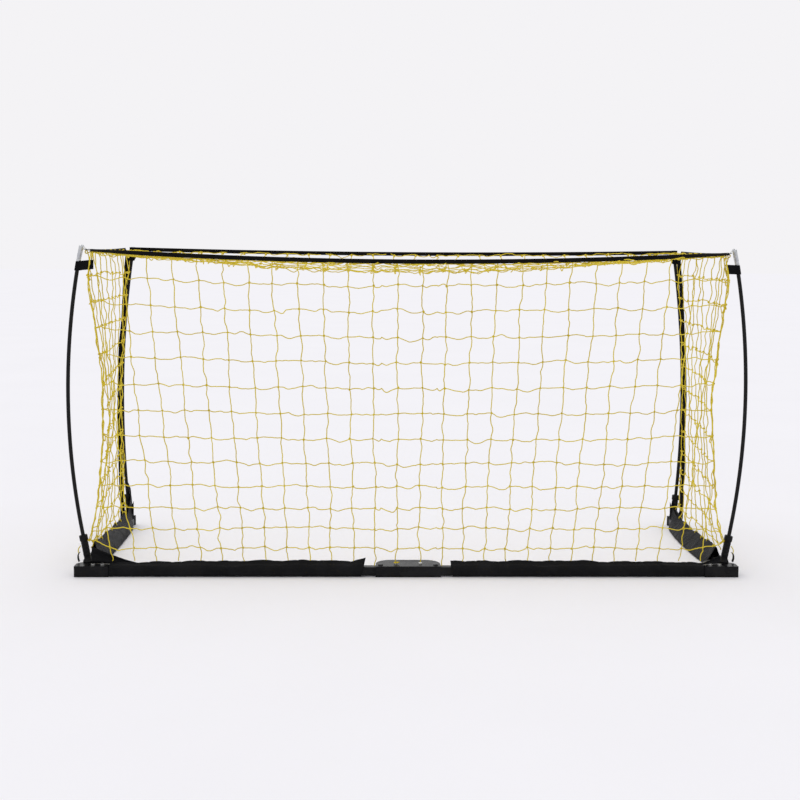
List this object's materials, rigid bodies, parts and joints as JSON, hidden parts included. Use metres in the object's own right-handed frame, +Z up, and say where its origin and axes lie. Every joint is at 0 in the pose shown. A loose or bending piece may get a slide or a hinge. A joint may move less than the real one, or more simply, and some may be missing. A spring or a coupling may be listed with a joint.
{
  "type": "folding soccer goal",
  "caption": "Folding soccer goal: a steel ground frame that folds at the middle and corners, bowed posts in sockets, and a cord net with webbing straps.",
  "frame": {"origin": "on the ground, on the flat underside of the centre hinge bracket, in the middle of the rear bar", "axes": "+X along the rear bar to the right as seen from behind, +Y out of the mouth, +Z up"},
  "size_m": [2.0486, 0.6873, 0.9859],
  "materials": {
    "grey_paint": "satin grey",
    "black_paint": "satin black",
    "zinc_steel": "zinc plated",
    "dark_steel": "blackened",
    "silver_ferrule": "satin",
    "black_fibreglass": "gloss",
    "black_plastic": "matte",
    "black_nylon": "woven",
    "black_webbing": "webbing",
    "mustard_cord": "twisted cord"
  },
  "bodies": {
    "centre_hinge": {"hinge_bracket": "grey_paint", "pivot_rivet_left": "dark_steel", "pivot_rivet_right": "dark_steel", "tie_bolt_left": "zinc_steel", "tie_bolt_right": "zinc_steel", "spacer_sleeve_left": "zinc_steel", "spacer_sleeve_right": "zinc_steel", "rear_net_centre": "mustard_cord", "rear_strap_centre": "black_webbing", "roof_net_centre": "mustard_cord", "front_strap_centre": "black_webbing"},
    "rear_left": {"rear_tube_left": "black_paint", "rear_sleeve_left": "black_nylon", "corner_bracket_left": "grey_paint", "corner_bolt_inner_left": "zinc_steel", "corner_bolt_outer_left": "zinc_steel", "side_pivot_pin_left": "zinc_steel", "rear_socket_left": "black_plastic", "rear_net_left": "mustard_cord", "rear_strap_left": "black_webbing", "roof_net_left": "mustard_cord", "front_strap_left": "black_webbing"},
    "rear_right": {"rear_tube_right": "black_paint", "rear_sleeve_right": "black_nylon", "corner_bracket_right": "grey_paint", "corner_bolt_inner_right": "zinc_steel", "corner_bolt_outer_right": "zinc_steel", "side_pivot_pin_right": "zinc_steel", "rear_socket_right": "black_plastic", "rear_net_right": "mustard_cord", "rear_strap_right": "black_webbing", "roof_net_right": "mustard_cord", "front_strap_right": "black_webbing"},
    "rear_post_left": {"rear_pole_left": "black_fibreglass", "rear_ferrule_left": "silver_ferrule", "post_wrap_left": "black_nylon"},
    "rear_post_right": {"rear_pole_right": "black_fibreglass", "rear_ferrule_right": "silver_ferrule", "post_wrap_right": "black_nylon"},
    "side_left": {"side_tube_left": "black_paint", "side_sleeve_left": "black_nylon", "side_end_cap_left": "black_plastic", "front_socket_left": "black_plastic", "front_socket_pin_left": "zinc_steel", "side_net_left": "mustard_cord", "side_strap_left": "black_webbing", "mouth_webbing_left": "black_webbing"},
    "side_right": {"side_tube_right": "black_paint", "side_sleeve_right": "black_nylon", "side_end_cap_right": "black_plastic", "front_socket_right": "black_plastic", "front_socket_pin_right": "zinc_steel", "side_net_right": "mustard_cord", "side_strap_right": "black_webbing", "mouth_webbing_right": "black_webbing"},
    "front_post_left": {"front_pole_left": "black_fibreglass", "front_ferrule_left": "silver_ferrule"},
    "front_post_right": {"front_pole_right": "black_fibreglass", "front_ferrule_right": "silver_ferrule"}
  },
  "joints": [
    {"name": "rear_fold_left", "type": "hinge", "parent": "centre_hinge", "child": "rear_left", "pos_m": [-0.083, 0, 0.0165], "axis": [0, 0, -1], "range_deg": [0, 82]},
    {"name": "rear_fold_right", "type": "hinge", "parent": "centre_hinge", "child": "rear_right", "pos_m": [0.083, 0, 0.0165], "axis": [0, 0, 1], "range_deg": [0, 82]},
    {"name": "side_fold_left", "type": "hinge", "parent": "rear_left", "child": "side_left", "pos_m": [-0.965, 0.036, 0.0165], "axis": [0, 0, -1], "range_deg": [0, 90], "deforming": ["roof_net_left", "front_strap_left", "roof_net_centre", "front_strap_centre"]},
    {"name": "side_fold_right", "type": "hinge", "parent": "rear_right", "child": "side_right", "pos_m": [0.965, 0.036, 0.0165], "axis": [0, 0, 1], "range_deg": [0, 90], "deforming": ["roof_net_right", "front_strap_right"]},
    {"name": "rear_lift_left", "type": "slide", "parent": "rear_left", "child": "rear_post_left", "axis": [-0.184, 0, 0.9829], "range_m": [0, 0.09]},
    {"name": "rear_lift_right", "type": "slide", "parent": "rear_right", "child": "rear_post_right", "axis": [0.184, 0, 0.9829], "range_m": [0, 0.09]},
    {"name": "front_lift_left", "type": "slide", "parent": "side_left", "child": "front_post_left", "axis": [-0.0872, 0, 0.9962], "range_m": [0, 0.09]},
    {"name": "front_lift_right", "type": "slide", "parent": "side_right", "child": "front_post_right", "axis": [0.0872, 0, 0.9962], "range_m": [0, 0.09]}
  ]
}
